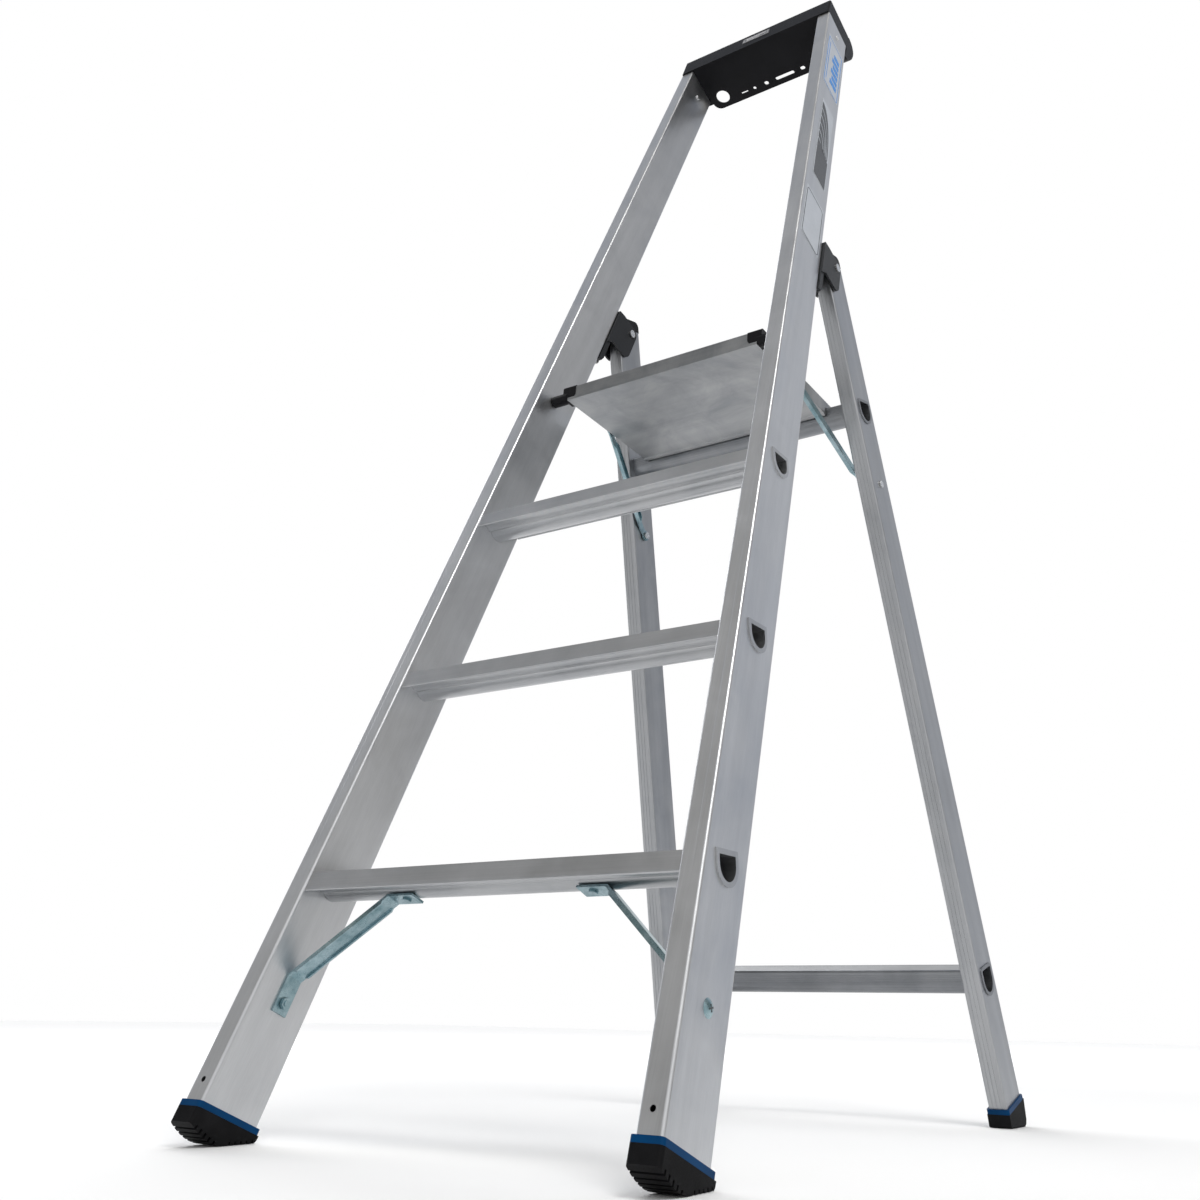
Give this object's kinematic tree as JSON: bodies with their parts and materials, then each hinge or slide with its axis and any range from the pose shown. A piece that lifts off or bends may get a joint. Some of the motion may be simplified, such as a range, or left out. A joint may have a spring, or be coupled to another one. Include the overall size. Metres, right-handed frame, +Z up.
{
  "type": "platform step ladder",
  "caption": "Folding aluminium platform step ladder with treads, a hinged rear frame, a fold-up standing platform and a black tool tray on top.",
  "frame": {"origin": "on the floor, in the middle of the open ladder's footprint", "axes": "+X to the ladder's right as seen by a person about to climb, +Y towards the rear frame, +Z up; the climbing side faces -Y"},
  "size_m": [0.5464, 0.8862, 1.8331],
  "materials": {
    "stile_aluminium": "satin mill finish, drawn lengthwise",
    "tread_aluminium": "satin mill finish",
    "deck_aluminium": "dull mill finish",
    "leg_aluminium": "satin mill finish, drawn lengthwise",
    "crossbar_aluminium": "satin mill finish",
    "tray_plastic": "satin moulded plastic",
    "black_plastic": "satin moulded plastic",
    "bracket_plastic": "satin moulded plastic",
    "foot_rubber": "matt",
    "blue_collar": "semi-gloss",
    "zinc_steel": "bright blue-tinted zinc plate",
    "rivet_steel": "satin",
    "label_film": "semi-gloss film",
    "badge_plate": "semi-gloss film"
  },
  "bodies": {
    "front_frame": {"front_stile_right": "stile_aluminium", "front_stile_left": "stile_aluminium", "step_lower": "tread_aluminium", "step_middle": "tread_aluminium", "step_upper": "tread_aluminium", "top_tray": "tray_plastic", "tray_bolts": "rivet_steel", "tray_badge": "badge_plate", "brace_right": "zinc_steel", "brace_left": "zinc_steel", "brace_bolts": "zinc_steel", "brace_rivets": "zinc_steel", "front_foot_right": "foot_rubber", "front_foot_left": "foot_rubber", "front_collar_right": "blue_collar", "front_collar_left": "blue_collar", "hinge_bracket_right": "bracket_plastic", "hinge_bracket_left": "bracket_plastic", "bracket_rivets": "rivet_steel", "hinge_pin_right": "rivet_steel", "hinge_pin_left": "rivet_steel", "stile_labels": "label_film"},
    "rear_frame": {"rear_leg_right": "leg_aluminium", "rear_leg_left": "leg_aluminium", "leg_cap_right": "black_plastic", "leg_cap_left": "black_plastic", "crossbar_upper": "crossbar_aluminium", "crossbar_lower": "crossbar_aluminium", "rear_foot_right": "foot_rubber", "rear_foot_left": "foot_rubber", "rear_collar_right": "blue_collar", "rear_collar_left": "blue_collar", "strut_pins_lower": "rivet_steel"},
    "platform": {"platform_deck": "deck_aluminium", "platform_cap_right": "black_plastic", "platform_cap_left": "black_plastic"},
    "strut_pair_right": {"strut_right": "zinc_steel", "strut_pin_right": "rivet_steel"},
    "strut_pair_left": {"strut_left": "zinc_steel", "strut_pin_left": "rivet_steel"}
  },
  "joints": [
    {"name": "rear_fold", "type": "hinge", "parent": "front_frame", "child": "rear_frame", "pos_m": [0, 0.11233, 1.13899], "axis": [1, 0, 0], "range_deg": [-35.9, 0]},
    {"name": "platform_fold", "type": "hinge", "parent": "front_frame", "child": "platform", "pos_m": [0, -0.05536, 0.93756], "axis": [1, 0, 0], "range_deg": [0, 68.64]},
    {"name": "strut_swing_right", "type": "hinge", "parent": "rear_frame", "child": "strut_pair_right", "pos_m": [0, 0.19929, 0.81444], "axis": [1, 0, 0], "range_deg": [-12.45, 0]},
    {"name": "strut_swing_left", "type": "hinge", "parent": "rear_frame", "child": "strut_pair_left", "pos_m": [0, 0.19929, 0.81444], "axis": [1, 0, 0], "range_deg": [-12.45, 0]}
  ],
  "couplings": [
    {"joint": "platform_fold", "follows": "rear_fold", "ratio": -1.9119},
    {"joint": "strut_swing_right", "follows": "rear_fold", "ratio": 0.34669},
    {"joint": "strut_swing_left", "follows": "rear_fold", "ratio": 0.34669}
  ]
}
